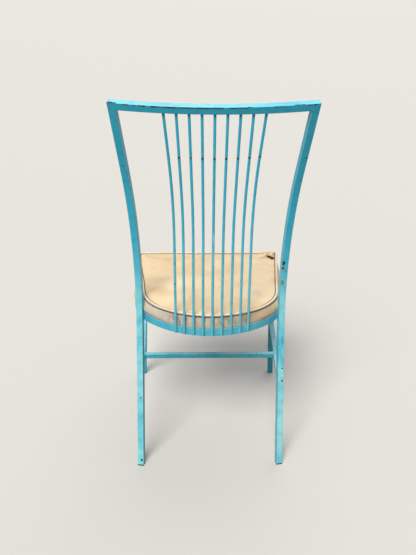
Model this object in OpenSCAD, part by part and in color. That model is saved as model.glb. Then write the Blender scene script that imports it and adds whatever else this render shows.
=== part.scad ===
// Steel-framed dining chair with a bowed spindle back and a loose-topped upholstered seat.
// The chair faces -Y.  Left and right are those of a person sitting in it, so left is +X.
// All sizes are in millimetres.  The origin is on the floor, under the middle of the chair.

/* [Frame tube] */
// Outside width of the square tube of the legs and the top rail
leg_tube = 15.9; // [12:0.1:22]
// Wall thickness of the leg tube
leg_wall = 1.5; // [0.8:0.1:3]
// Outside width of the square tube of the stretchers
stretcher_tube = 12.7; // [9:0.1:16]
// Wall thickness of the stretcher tube
stretcher_wall = 1.2; // [0.8:0.1:2.5]

/* [Back legs] */
// Half of the distance between the back feet, at their middles
back_foot_x = 188.5; // [150:0.5:230]
// Forward lean of the lower part of a back leg, in degrees
back_rake = 14.6; // [8:0.1:20]
// Inward lean of the lower part of a back leg, in degrees
back_toe_in = 0.8; // [0:0.1:3]
// Turn of a back leg about its own length, which splays its upper part outwards, in degrees
back_twist = 11.5; // [0:0.5:20]
// Length of leg below the bend
bend_start = 389; // [340:1:480]
// Radius of the bend
bend_radius = 805; // [500:5:1200]
// Angle of the bend, in degrees
bend_angle = 30.9; // [20:0.1:38]
// Height of the middle of the corner between a back leg and the top rail
back_height = 957.5; // [800:0.5:1100]

/* [Top rail] */
// How far the middle of the top rail bows backwards
rail_bow = 18; // [5:0.5:45]
// Backward tilt of the plane in which the rail is bowed, in degrees
rail_tilt = 17.4; // [5:0.1:30]

/* [Spindles] */
// Diameter of a spindle
spindle_d = 6.35; // [4:0.05:10]
// Spacing of the spindles along the top rail
spindle_pitch_top = 27.2; // [20:0.1:32]
// Spacing of the spindles along the seat ring
spindle_pitch_seat = 23.2; // [16:0.1:28]
// Forward lean of the straight part of a spindle, in degrees
spindle_lean = 2.5; // [0:0.1:6]
// Height at which a spindle starts to bend
spindle_bend_height = 640; // [480:5:760]
// Radius of a spindle's bend
spindle_bend_radius = 1200; // [300:50:2000]
// Height of a spindle's lower end above the lower edge of the seat ring
spindle_lift = 3; // [1:0.5:8]
// How far the row of spindles stands to the right of the middle of the chair
spindle_shift = 1.5; // [-3:0.1:3]
// How far the leftmost spindle has been knocked inwards at the seat
knock_left = 2; // [0:0.5:8]
// How far the rightmost spindle has been knocked inwards at the seat
knock_right = 2.5; // [0:0.5:8]

/* [Seat ring] */
// Height of the flat bar of the seat ring
ring_h = 20; // [14:0.5:30]
// Thickness of the flat bar
ring_t = 5; // [3:0.5:8]
// Height of the lower edge of the ring above the floor
ring_z = 394; // [340:1:460]
// Half of the outside width of the ring
ring_half_w = 203.8; // [180:0.1:240]
// Radius of the outside of the ring at the back
ring_back_r = 228.8; // [205:0.1:300]
// Radius of the outside of the ring at its rear corners
ring_corner_r = 148; // [110:1:170]
// Radius of the outside of the ring at its front corners
ring_front_r = 8; // [6:0.5:30]
// Distance of the back of the ring in front of the middles of the back feet
ring_back_inset = 32.2; // [20:0.1:60]
// Outside depth of the ring, front to back
ring_depth = 360; // [320:1:420]

/* [Front legs] */
// Half of the distance between the front feet, at their middles
front_foot_x = 211.6; // [180:0.1:250]
// Distance between the back feet and the front feet, at their middles
foot_depth = 418.9; // [380:0.1:480]

/* [Stretchers] */
// Height of the middles of the stretchers
stretcher_z = 220; // [120:1:300]
// Distance of the cross stretcher in front of the back feet
cross_y = 200; // [120:1:280]

/* [Feet] */
// Thickness of a glide under its tube
glide_t = 3; // [1.5:0.5:6]
// Depth of a glide's plug inside its tube
glide_plug = 14; // [8:1:25]

/* [Seat] */
// Thickness of the plywood seat board
board_t = 9; // [6:0.5:15]
// Height of the seat's side wall, from the ring to the welt
seat_wall_h = 36; // [28:1:50]
// How far the front of the seat stands out past the ring
seat_overhang = 4; // [0:0.5:12]
// How much narrower each side of the seat is at the welt than at the ring
seat_taper = 21.8; // [10:0.1:24]
// The same at the seat's front corners
seat_front_taper = 4; // [2:0.5:12]
// How far the back of the seat leans forward at the welt, to clear the spindles
seat_back_taper = 4; // [3:0.5:12]
// Rise of the padding in the middle of the seat above the welt
crown = 8; // [4:1:16]
// Thickness of the cover and its backing
cover_t = 1.5; // [1:0.1:3]
// Clearance between the soft parts and what they lie against
soft_gap = 0.3; // [0.2:0.05:1]

/* [Seat fixings] */
// Thickness of a fixing tab
tab_t = 3; // [2:0.5:5]
// Width of a fixing tab along the ring
tab_w = 26; // [20:1:40]
// Reach of a fixing tab in from the ring
tab_reach = 24; // [18:1:35]
// Diameter of the shank of a seat screw
screw_d = 4; // [3:0.1:5]
// Length of a seat screw under its head
screw_len = 10; // [8:1:11]
// Diameter of the head of a seat screw
screw_head_d = 8; // [6:0.5:10]
// Clearance of a screw in its tab
screw_gap = 0.4; // [0.2:0.1:1]

/* [Hidden] */

$fn = 96;
SPINDLES = 9;
BIG = 1400;
PAINT = [0.33, 0.74, 0.83];
leg_half = leg_tube / 2;
stretcher_half = stretcher_tube / 2;
spindle_r = spindle_d / 2;
ring_top = ring_z + ring_h;

// Turns a vector by the same angles, in the same order, as rotate([a, b, 0])
function turned(v, a, b) = let (
    y = v.y * cos(a) - v.z * sin(a),
    z = v.y * sin(a) + v.z * cos(a)
) [v.x * cos(b) + z * sin(b), y, z * cos(b) - v.x * sin(b)];

// Half of the depth, front to back, that a square tube with these axes covers on the floor
function foot_reach(half, side_axis, face_axis, along) =
    half * (abs(side_axis.y - along.y * side_axis.z / along.z)
          + abs(face_axis.y - along.y * face_axis.z / along.z));

// Back leg: its length axis, the way it bends, and the axis across both
back_dir = turned([0, 0, 1], back_rake, -back_toe_in);
back_bend = turned([sin(back_twist), cos(back_twist), 0], back_rake, -back_toe_in);
back_side = turned([cos(back_twist), -sin(back_twist), 0], back_rake, -back_toe_in);
back_reach = foot_reach(leg_half, back_side, back_bend, back_dir);

// Front leg: it runs from its foot to the inner corner of the seat ring
front_run_y = foot_depth - (ring_back_inset + ring_depth - ring_t - leg_half);
front_run_x = front_foot_x - (ring_half_w - ring_t - leg_half);
front_run_z = ring_z + ring_h / 2;
front_rake = atan(front_run_y / front_run_z);
front_toe_in = atan(front_run_x * cos(front_rake) / front_run_z);
front_dir = turned([0, 0, 1], -front_rake, -front_toe_in);
front_face = turned([0, 1, 0], -front_rake, -front_toe_in);
front_side = turned([1, 0, 0], -front_rake, -front_toe_in);
front_reach = foot_reach(leg_half, front_side, front_face, front_dir);

// The middle of the footprint is Y = 0
back_y = (foot_depth + front_reach + back_reach) / 2 - back_reach;
front_y = back_y - foot_depth;
back_foot = [back_foot_x, back_y, 0];
front_foot = [front_foot_x, front_y, 0];
ring_back_y = back_y - ring_back_inset;
ring_front_y = ring_back_y - ring_depth;

// Upper end of a back leg, and the corner that it makes with the rail
bend_end = back_foot
    + back_dir * (bend_start + bend_radius * sin(bend_angle))
    + back_bend * bend_radius * (1 - cos(bend_angle));
top_dir = back_dir * cos(bend_angle) + back_bend * sin(bend_angle);
upper_len = (back_height - bend_end.z) / top_dir.z;
corner = bend_end + top_dir * upper_len;

// Top rail: an arc in a plane that is tilted back
rail_r = (corner.x * corner.x + rail_bow * rail_bow) / (2 * rail_bow);
rail_half_angle = asin(corner.x / rail_r);
rail_back = [0, cos(rail_tilt), -sin(rail_tilt)];
rail_up = [0, sin(rail_tilt), cos(rail_tilt)];
rail_in = [-cos(rail_half_angle), 0, 0] + rail_back * sin(rail_half_angle);
mitre = top_dir + rail_in;

// Middle of the rail's underside at a distance x from the middle of the chair
function rail_under(x) = [x, corner.y, corner.z]
    + rail_back * (rail_bow - rail_r + sqrt(rail_r * rail_r - x * x))
    - rail_up * leg_half;

// Centres of the arcs that make up the back of the seat ring
ring_mid_y = ring_back_y - ring_back_r;
ring_corner_x = ring_half_w - ring_corner_r;
ring_corner_y = ring_mid_y
    + sqrt(pow(ring_back_r - ring_corner_r, 2) - ring_corner_x * ring_corner_x);

// Spindles: the straight part leans forward, the upper part bends to meet the rail
spindle_dir = [0, -sin(spindle_lean), cos(spindle_lean)];
spindle_seat = 0.1;
function spindle_knock(i) = i == 1 ? -knock_left : (i == SPINDLES ? knock_right : 0);
function spindle_place(i) = (SPINDLES + 1) / 2 - i;
function spindle_foot(i) =
    let (x = spindle_place(i) * spindle_pitch_seat + spindle_knock(i) - spindle_shift)
    [x, ring_mid_y + sqrt(pow(ring_back_r + spindle_r + spindle_seat, 2) - x * x), ring_top];

// Seat fixings
tab_front_x = 90;
tab_side_turn = 32;
screw_reach = tab_reach - 9;

// The seat's edge lies a little inside the ring's, and the board lies inside the cover.  The
// wall stays upright to a little above the board.
seat_edge = 1;
upright = 2.5;
board_inset = seat_edge + cover_t + soft_gap;
welt_front_r = 14;
welt_corner_r = 112;
crown_r = 90;
leg_top_drop = 1;

// ---- Shapes that repeat ----

// The half of space that lies on the side of p to which n points
module half_space(p, n) {
    translate(p)
        rotate([0, acos(n.z / norm(n)), atan2(n.y, n.x)])
            translate([0, 0, BIG / 2])
                cube(BIG, center = true);
}

// Everything above a height
module above(z) {
    half_space([0, 0, z], [0, 0, 1]);
}

// A bar that runs up Z from the origin, bends towards +Y and runs straight on.  Its section
// is the child.  The lengths lap by a hair, so that they join into one solid.
module bent_bar(lower, radius, angle, upper) {
    lap = 0.01;
    translate([0, radius, lower]) {
        translate([0, -radius, -lower])
            linear_extrude(lower + lap)
                children();
        rotate([90, 0, -90])
            rotate_extrude(angle = angle, $fn = 240)
                translate([radius, 0])
                    rotate(90)
                        children();
        rotate([-angle, 0, 0])
            translate([0, -radius, -lap])
                linear_extrude(upper + lap)
                    children();
    }
}

// A round rod with the same course.  A small ball covers each end of the bend.
module bent_rod(r, lower, radius, angle, upper) {
    joint = 0.2;
    ball_r = r + 0.025;
    skip = joint / radius * 180 / PI;
    translate([0, radius, lower]) {
        translate([0, -radius, -lower])
            cylinder(h = lower - joint, r = r);
        rotate([90, 0, -90])
            rotate(skip)
                rotate_extrude(angle = angle - 2 * skip, $fn = 240)
                    translate([radius, 0])
                        circle(r);
        for (turn = [0, angle])
            rotate([-turn, 0, 0])
                translate([0, -radius, 0])
                    sphere(ball_r, $fn = 48);
        rotate([-angle, 0, 0])
            translate([0, -radius, joint])
                cylinder(h = upper - joint, r = r);
    }
}

// Puts a shape that stands on Z onto the axis of the left back leg
module on_back_leg() {
    translate(back_foot)
        rotate([back_rake, -back_toe_in, 0])
            rotate(-back_twist)
                children();
}

// Puts a shape that stands on Z onto the axis of the left front leg
module on_front_leg() {
    translate(front_foot)
        rotate([-front_rake, -front_toe_in, 0])
            children();
}

// The left one as it is, the right one as its mirror image
module left_or_right(side) {
    if (side > 0) children();
    else mirror([1, 0, 0]) children();
}

// Outline of the seat ring, drawn in by a distance all round.  The wedge that limits the back
// arc is a hair narrow, so that the arcs cross cleanly where they are tangent.
module ring_outline(inset, facets = 360) {
    reach = 2 * ring_back_r;
    narrow = 0.99;
    wedge = [ring_corner_x * narrow, ring_corner_y - ring_mid_y]
        * (reach / (ring_back_r - ring_corner_r));
    intersection() {
        translate([0, ring_mid_y])
            circle(ring_back_r - inset, $fn = facets);
        translate([0, ring_mid_y])
            polygon([[0, 0], [wedge.x, wedge.y], [-wedge.x, wedge.y]]);
    }
    for (side = [-1, 1]) {
        translate([side * ring_corner_x, ring_corner_y])
            circle(ring_corner_r - inset, $fn = facets);
        translate([side * (ring_half_w - ring_front_r), ring_front_y + ring_front_r])
            circle(ring_front_r - inset > 1 ? ring_front_r - inset : 1, $fn = 32);
    }
    translate([-ring_half_w + inset, ring_front_y + ring_front_r])
        square([2 * (ring_half_w - inset), ring_corner_y - ring_front_y - ring_front_r]);
    translate([-ring_half_w + ring_front_r, ring_front_y + inset])
        square([2 * (ring_half_w - ring_front_r), ring_corner_y - ring_front_y - inset]);
}

// ---- Frame ----

module back_leg_path(width, extra) {
    spare = 20 + extra;
    on_back_leg()
        translate([0, 0, -spare])
            bent_bar(bend_start + spare, bend_radius, bend_angle, upper_len + spare)
                square(width, center = true);
}

module back_leg(side) {
    color(PAINT)
        left_or_right(side)
            difference() {
                back_leg_path(leg_tube, 0);
                back_leg_path(leg_tube - 2 * leg_wall, 2);
                half_space([0, 0, glide_t], [0, 0, -1]);
                half_space(corner, mitre);
                ring_bar();
            }
}

module top_rail() {
    color(PAINT)
        difference() {
            translate([0, corner.y, corner.z])
                rotate([-rail_tilt, 0, 0])
                    translate([0, rail_bow - rail_r, 0])
                        rail_arc();
            half_space(corner, -mitre);
            mirror([1, 0, 0])
                half_space(corner, -mitre);
        }
}

module rail_arc() {
    spare = 3;
    sweep = 2 * (rail_half_angle + spare);
    rotate(90 - sweep / 2)
        rotate_extrude(angle = sweep, $fn = 720)
            translate([rail_r, 0])
                difference() {
                    square(leg_tube, center = true);
                    square(leg_tube - 2 * leg_wall, center = true);
                }
}

module ring_bar() {
    translate([0, 0, ring_z])
        linear_extrude(ring_h)
            difference() {
                ring_outline(0);
                ring_outline(ring_t);
            }
}

module seat_ring() {
    color(PAINT)
        ring_bar();
}

module front_leg_path(width, extra) {
    on_front_leg()
        translate([-width / 2, -width / 2, -20 - extra])
            cube([width, width, front_run_z + 60 + 2 * extra]);
}

module front_leg(side) {
    color(PAINT)
        left_or_right(side)
            difference() {
                front_leg_path(leg_tube, 0);
                front_leg_path(leg_tube - 2 * leg_wall, 2);
                half_space([0, 0, glide_t], [0, 0, -1]);
                above(ring_top - tab_t - leg_top_drop);
                ring_bar();
            }
}

// ---- Spindles ----

module spindle(i) {
    from = spindle_foot(i);
    to = rail_under(spindle_place(i) * spindle_pitch_top - spindle_shift);
    along = (to - from) * spindle_dir;
    off = (to - from) - spindle_dir * along;
    straight = (spindle_bend_height - from.z) / spindle_dir.z;
    run = along - straight;
    // The bend is as sharp as it must be for the upper part to reach the rail
    side = norm(off);
    angle = 2 * atan((run - sqrt(run * run + side * (side - 2 * spindle_bend_radius)))
                     / (2 * spindle_bend_radius - side));
    rest = norm([run - spindle_bend_radius * sin(angle),
                 side - spindle_bend_radius * (1 - cos(angle))]);
    bend_way = atan2(-off.x, off * [0, cos(spindle_lean), sin(spindle_lean)]);
    start = spindle_lift - ring_h;
    color(PAINT)
        difference() {
            translate(from)
                rotate([spindle_lean, 0, 0])
                    rotate(bend_way)
                        translate([0, 0, start])
                            bent_rod(spindle_r, straight - start, spindle_bend_radius, angle,
                                     rest + leg_half);
            half_space(to, rail_up);
        }
}

// ---- Stretchers ----

// Points where the middles of a side stretcher meet the middles of its legs
stretcher_back = back_foot + back_dir * (stretcher_z / back_dir.z);
stretcher_front = front_foot + front_dir * (stretcher_z / front_dir.z);
side_run = stretcher_front - stretcher_back;
side_turn = atan2(side_run.y, side_run.x);

module tube_along(from, turn, length) {
    translate(from)
        rotate([0, 0, turn])
            translate([length / 2, 0, 0])
                difference() {
                    cube([length, stretcher_tube, stretcher_tube], center = true);
                    cube([length + 2, stretcher_tube - 2 * stretcher_wall,
                          stretcher_tube - 2 * stretcher_wall], center = true);
                }
}

module side_stretcher(side) {
    color(PAINT)
        left_or_right(side)
            difference() {
                tube_along(stretcher_back, side_turn, norm(side_run));
                half_space(stretcher_back - back_bend * leg_half, back_bend);
                half_space(stretcher_front + front_face * leg_half, -front_face);
            }
}

// Inner face of the left side stretcher
side_inner = [sin(side_turn), -cos(side_turn), 0];
side_inner_point = stretcher_back + side_inner * stretcher_half;

module cross_stretcher() {
    span = 2 * front_foot_x;
    color(PAINT)
        difference() {
            tube_along([-span / 2, back_y - cross_y, stretcher_z], 0, span);
            half_space(side_inner_point, -side_inner);
            mirror([1, 0, 0])
                half_space(side_inner_point, -side_inner);
        }
}

// ---- Feet ----

// The plug fills the tube with a little clearance, and its flange covers the tube's end
module plug(z_from, z_to) {
    intersection() {
        children();
        translate([-BIG / 2, -BIG / 2, z_from])
            cube([BIG, BIG, z_to - z_from]);
    }
}

module glide_back(side) {
    color([0.12, 0.12, 0.12])
        left_or_right(side) {
            plug(0, glide_t)
                back_leg_path(leg_tube, 0);
            plug(0, glide_t + glide_plug)
                back_leg_path(leg_tube - 2 * leg_wall - soft_gap, 0);
        }
}

module glide_front(side) {
    color([0.12, 0.12, 0.12])
        left_or_right(side) {
            plug(0, glide_t)
                front_leg_path(leg_tube, 0);
            plug(0, glide_t + glide_plug)
                front_leg_path(leg_tube - 2 * leg_wall - soft_gap, 0);
        }
}

// ---- Seat fixings ----

// Puts a shape on the inner face of the ring with +Y pointing inwards
module at_tab(front, side) {
    left_or_right(side)
        if (front)
            translate([tab_front_x, ring_front_y + ring_t, ring_top - tab_t])
                children();
        else
            translate([0, ring_mid_y, ring_top - tab_t])
                rotate(-tab_side_turn)
                    translate([0, ring_back_r - ring_t, 0])
                        rotate(180)
                            children();
}

module tab_blank() {
    translate([-tab_w / 2, -ring_t / 2, 0])
        cube([tab_w, tab_reach + ring_t / 2, tab_t]);
}

module seat_tab(front, side) {
    color(PAINT)
        difference() {
            at_tab(front, side)
                difference() {
                    tab_blank();
                    translate([0, screw_reach, -1])
                        cylinder(h = tab_t + 2, d = screw_d + screw_gap);
                }
            ring_bar();
        }
}

module one_screw() {
    head_h = 2.6;
    translate([0, screw_reach, 0]) {
        cylinder(h = screw_len, d = screw_d);
        difference() {
            translate([0, 0, -head_h])
                cylinder(h = head_h, d = screw_head_d);
            translate([0, 0, -head_h - 0.1])
                for (turn = [0, 90])
                    rotate(turn)
                        translate([-2.4, -0.5, 0])
                            cube([4.8, 1, 1.5]);
        }
    }
}

module seat_screws() {
    color("silver")
        for (front = [true, false])
            for (side = [-1, 1])
                at_tab(front, side)
                    one_screw();
}

// ---- Seat ----

// Outline of the seat at the welt.  The sides come in towards the back of the seat.
module welt_outline(inset) {
    front_r = welt_front_r - inset;
    corner_r = welt_corner_r - inset;
    back_r = ring_back_r - seat_back_taper;
    corner_x = ring_half_w - seat_taper - welt_corner_r;
    corner_y = ring_mid_y + sqrt(pow(back_r - welt_corner_r, 2) - corner_x * corner_x);
    hull() {
        for (side = [-1, 1]) {
            translate([side * (ring_half_w - seat_front_taper - welt_front_r),
                       ring_front_y - seat_overhang + welt_front_r])
                circle(front_r, $fn = 32);
            translate([side * corner_x, corner_y])
                circle(corner_r, $fn = 64);
        }
        polygon([for (a = [-30 : 5 : 30]) [0, ring_mid_y] + (back_r - inset) * [sin(a), cos(a)]]);
    }
}

// The seat's form: upright beside the board, then in to the welt, with the crown over it.
// It is drawn in by a distance at the sides and by another at the top.
module seat_form(inset, top_inset) {
    welt_z = ring_top + seat_wall_h - top_inset;
    hull() {
        translate([0, 0, ring_top])
            linear_extrude(board_t + upright - top_inset / 2)
                ring_outline(seat_edge + inset, 96);
        translate([0, 0, welt_z - 1])
            linear_extrude(1)
                welt_outline(inset);
        translate([0, (ring_back_y + ring_front_y) / 2, welt_z])
            linear_extrude(crown)
                circle(crown_r, $fn = 32);
    }
}

module seat_board() {
    color("burlywood")
        difference() {
            translate([0, 0, ring_top])
                linear_extrude(board_t)
                    ring_outline(board_inset);
            for (front = [true, false])
                for (side = [-1, 1])
                    at_tab(front, side)
                        translate([0, screw_reach, 0])
                            cylinder(h = screw_len + 0.5, d = screw_d);
        }
}

module foam_pad() {
    color([0.93, 0.82, 0.52])
        intersection() {
            seat_form(cover_t + soft_gap, cover_t + soft_gap);
            above(ring_top + board_t + soft_gap);
        }
}

module seat_cover() {
    color([0.93, 0.84, 0.68])
        difference() {
            intersection() {
                seat_form(0, 0);
                above(ring_top + soft_gap);
            }
            seat_form(cover_t, cover_t);
        }
}

back_leg(1);  // back_leg_left
back_leg(-1);  // back_leg_right
top_rail();
spindle(1);  // spindle_1
spindle(2);  // spindle_2
spindle(3);  // spindle_3
spindle(4);  // spindle_4
spindle(5);  // spindle_5
spindle(6);  // spindle_6
spindle(7);  // spindle_7
spindle(8);  // spindle_8
spindle(9);  // spindle_9
seat_ring();
front_leg(1);  // front_leg_left
front_leg(-1);  // front_leg_right
side_stretcher(1);  // side_stretcher_left
side_stretcher(-1);  // side_stretcher_right
cross_stretcher();
seat_tab(true, 1);  // seat_tab_front_left
seat_tab(true, -1);  // seat_tab_front_right
seat_tab(false, 1);  // seat_tab_back_left
seat_tab(false, -1);  // seat_tab_back_right
glide_back(1);  // glide_back_left
glide_back(-1);  // glide_back_right
glide_front(1);  // glide_front_left
glide_front(-1);  // glide_front_right
seat_board();
foam_pad();
seat_cover();
seat_screws();
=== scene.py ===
"""Looks of a weathered spindle-back dining chair: chipped turquoise enamel on welded steel,
with a stained cream vinyl seat that has torn open at one front corner."""

import logging
import math
import random
from dataclasses import dataclass, field
from enum import Enum
from typing import Callable, Optional, Sequence

import bpy
from mathutils import Matrix, Vector, noise
from mathutils.bvhtree import BVHTree


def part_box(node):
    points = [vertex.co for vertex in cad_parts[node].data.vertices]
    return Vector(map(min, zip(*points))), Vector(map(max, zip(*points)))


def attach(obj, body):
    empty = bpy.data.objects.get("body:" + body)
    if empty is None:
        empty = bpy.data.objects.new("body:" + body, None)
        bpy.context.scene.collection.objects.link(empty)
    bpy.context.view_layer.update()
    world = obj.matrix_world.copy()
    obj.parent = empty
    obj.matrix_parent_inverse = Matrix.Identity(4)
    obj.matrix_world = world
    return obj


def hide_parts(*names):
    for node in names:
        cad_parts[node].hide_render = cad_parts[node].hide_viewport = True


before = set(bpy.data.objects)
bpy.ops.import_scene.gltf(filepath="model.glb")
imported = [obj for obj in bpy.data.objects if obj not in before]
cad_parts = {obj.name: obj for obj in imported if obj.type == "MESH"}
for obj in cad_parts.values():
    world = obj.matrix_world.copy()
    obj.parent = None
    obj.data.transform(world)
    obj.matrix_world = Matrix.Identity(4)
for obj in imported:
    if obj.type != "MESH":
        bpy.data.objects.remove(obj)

MM = 0.001
UP = Vector((0, 0, 1))
LOG = logging.getLogger("chair")
Colour = tuple[float, float, float, float]
Face = tuple[int, ...]
SIDES = ("left", "right")


# ---- Small helpers ----


def linear(hex_colour: str) -> Colour:
    """Turns an sRGB hex colour into a linear one.

    Args:
        hex_colour: six hex digits, such as "3fb4c8".

    Returns:
        The linear red, green, blue and an alpha of 1.
    """
    parts = [int(hex_colour[i : i + 2], 16) / 255 for i in (0, 2, 4)]
    low = [p / 12.92 if p <= 0.04045 else ((p + 0.055) / 1.055) ** 2.4 for p in parts]
    return (low[0], low[1], low[2], 1.0)


def add_node(
    tree: bpy.types.NodeTree,
    kind: str,
    settings: Optional[dict] = None,
    links: Optional[dict] = None,
) -> bpy.types.Node:
    """Adds one node to a tree.

    Args:
        tree: the node tree that gets it.
        kind: the node's Blender type.
        settings: values for its sockets, by name or number, or for its properties.
        links: the output socket that feeds each of its inputs.

    Returns:
        The new node.
    """
    made = tree.nodes.new(kind)
    for key, value in (settings or {}).items():
        if isinstance(key, str) and key not in made.inputs:
            setattr(made, key, value)
        else:
            made.inputs[key].default_value = value
    for key, socket in (links or {}).items():
        tree.links.new(socket, made.inputs[key])
    return made


def per_metre(size_mm: float) -> float:
    """The texture scale at which a pattern's features are about size_mm across."""
    return 1000.0 / size_mm


def nudge(point: Vector, size_mm: float, seed: float) -> float:
    """Smooth noise from -1 to 1 at a point given in millimetres."""
    return noise.noise(point / size_mm + Vector((seed, seed * 1.7, seed * 0.6)))


def ease(value: float) -> float:
    """A smooth step from 0 to 1."""
    held = min(1.0, max(0.0, value))
    return held * held * (3 - 2 * held)


@dataclass
class Skin:
    """The corners, in millimetres, and the faces of a piece in the making."""

    points: list[Vector] = field(default_factory=list)
    faces: list[Face] = field(default_factory=list)

    @staticmethod
    def between(start: int, rows: int, count: int, looped: bool, inward: bool) -> list[Face]:
        """Lists the faces between rings of corners.

        Args:
            start: the number of the first ring's first corner.
            rows: how many rings there are.
            count: how many corners each ring has.
            looped: whether the last ring joins the first.
            inward: turns the faces round.

        Returns:
            The faces, ring by ring.
        """
        found: list[Face] = []
        for row in range(rows if looped else rows - 1):
            a, b = start + row * count, start + (row + 1) % rows * count
            for i in range(count):
                n = (i + 1) % count
                corners = (a + i, b + i, b + n, a + n) if inward else (a + i, a + n, b + n, b + i)
                found.append(corners)
        return found

    def sweep(
        self, path: Sequence[Vector], radius: Callable[[int], float], sides: int, closed: bool
    ) -> None:
        """Adds a round section swept along a path.

        Args:
            path: the points that it follows.
            radius: the section's radius at each point's number.
            sides: corners of the section.
            closed: whether the path is a loop.
        """
        count, start = len(path), len(self.points)
        for i, here in enumerate(path):
            before = path[(i - 1) % count] if closed or i else here
            after = path[(i + 1) % count] if closed or i < count - 1 else here
            along = (after - before).normalized()
            across = UP - along * UP.dot(along)
            if across.length < 0.05:
                across = along.orthogonal()
            across.normalize()
            other = along.cross(across)
            for k in range(sides):
                turn = 2 * math.pi * k / sides
                out = across * math.cos(turn) + other * math.sin(turn)
                self.points.append(here + out * radius(i))
        self.faces += self.between(start, count, sides, closed, False)
        if not closed:
            last = start + (count - 1) * sides
            self.faces.append(tuple(start + k for k in reversed(range(sides))))
            self.faces.append(tuple(last + k for k in range(sides)))

    def piece(self, name: str, finish: bpy.types.Material) -> bpy.types.Object:
        """Makes a smooth-shaded mesh object of it.

        Args:
            name: the piece's name.
            finish: its material.

        Returns:
            The object, in metres, with its origin at the row's origin.
        """
        mesh = bpy.data.meshes.new(name)
        mesh.from_pydata([tuple(p * MM) for p in self.points], [], self.faces)
        mesh.update()
        mesh.materials.append(finish)
        mesh.polygons.foreach_set("use_smooth", [True] * len(mesh.polygons))
        made = bpy.data.objects.new(name, mesh)
        bpy.context.scene.collection.objects.link(made)
        return made


def hand_over(piece: bpy.types.Object, replaces: Sequence[str] = ()) -> bpy.types.Object:
    """Fixes a finished piece to the chair.

    Args:
        piece: the object.
        replaces: the plain solids that it stands for.

    Returns:
        The same object.
    """
    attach(piece, "root")
    if replaces:
        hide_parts(*replaces)
    LOG.info("%s: %d faces", piece.name, len(piece.data.polygons))
    return piece


def even_path(corners: Sequence[Vector], step: float, closed: bool) -> list[Vector]:
    """Divides a run of straight lengths into steps.

    Args:
        corners: the points that it passes.
        step: the longest step, in millimetres.
        closed: whether it returns to its first point.

    Returns:
        The points along it.
    """
    stops = list(corners) + ([corners[0]] if closed else [])
    found: list[Vector] = []
    for a, b in zip(stops, stops[1:]):
        parts = max(1, math.ceil((b - a).length / step))
        found += [a.lerp(b, i / parts) for i in range(parts)]
    return found if closed else found + [stops[-1]]


def shell(node: str) -> BVHTree:
    """The surface of a metal solid, in millimetres, for laying things on."""
    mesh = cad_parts[node].data
    corners = [v.co / MM for v in mesh.vertices]
    return BVHTree.FromPolygons(corners, [tuple(p.vertices) for p in mesh.polygons])


# ---- Finishes ----


class Wear(Enum):
    """What shows where a flake of enamel has come away."""

    RUST = "rust"
    PRIMER = "primer"
    BARE = "bare"
    SCUFF = "scuff"


def blank_material(name: str) -> tuple[bpy.types.Material, bpy.types.NodeTree, bpy.types.Node]:
    """Makes a material with an empty principled shader.

    Args:
        name: the material and the process that made its surface.

    Returns:
        The material, its node tree and its principled shader.
    """
    material = bpy.data.materials.new(name)
    material.use_nodes = True
    tree = material.node_tree
    tree.nodes.clear()
    shader = add_node(tree, "ShaderNodeBsdfPrincipled")
    add_node(tree, "ShaderNodeOutputMaterial", links={"Surface": shader.outputs["BSDF"]})
    return material, tree, shader


def patches(
    tree: bpy.types.NodeTree,
    place: bpy.types.NodeSocket,
    size_mm: float,
    low: float,
    high: float,
    detail: float = 4,
    warp: float = 0.4,
) -> bpy.types.NodeSocket:
    """Lays out cloudy patches with soft rims.

    Args:
        tree: the material's tree.
        place: the point on the chair.
        size_mm: the size of the patches.
        low: the noise value up to which there is none.
        high: the noise value from which a patch is full.
        detail: how many finer octaves its rims have.
        warp: how much they are distorted.

    Returns:
        A mask that is 1 in the patches.
    """
    settings = {"Scale": per_metre(size_mm), "Detail": detail, "Distortion": warp}
    cloud = add_node(tree, "ShaderNodeTexNoise", settings, {"Vector": place}).outputs["Fac"]
    settings = {"From Min": low, "From Max": high, "interpolation_type": "SMOOTHSTEP"}
    return add_node(tree, "ShaderNodeMapRange", settings, {"Value": cloud}).outputs["Result"]


def coat(
    tree: bpy.types.NodeTree,
    under: "bpy.types.NodeSocket | Colour",
    over: "bpy.types.NodeSocket | Colour",
    mask: bpy.types.NodeSocket,
    strength: float = 1.0,
) -> bpy.types.NodeSocket:
    """Lays one colour over another, where a mask lets it.

    Args:
        tree: the material's tree.
        under: the colour underneath.
        over: the colour on top.
        mask: where it lies.
        strength: how much it covers there.

    Returns:
        The blended colour.
    """
    settings: dict = {"operation": "MULTIPLY", 1: strength}
    share = add_node(tree, "ShaderNodeMath", settings, {0: mask}).outputs[0]
    settings = {"data_type": "RGBA"}
    links: dict = {0: share}
    for number, value in ((6, under), (7, over)):
        (settings if isinstance(value, tuple) else links)[number] = value
    return add_node(tree, "ShaderNodeMix", settings, links).outputs[2]


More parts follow.
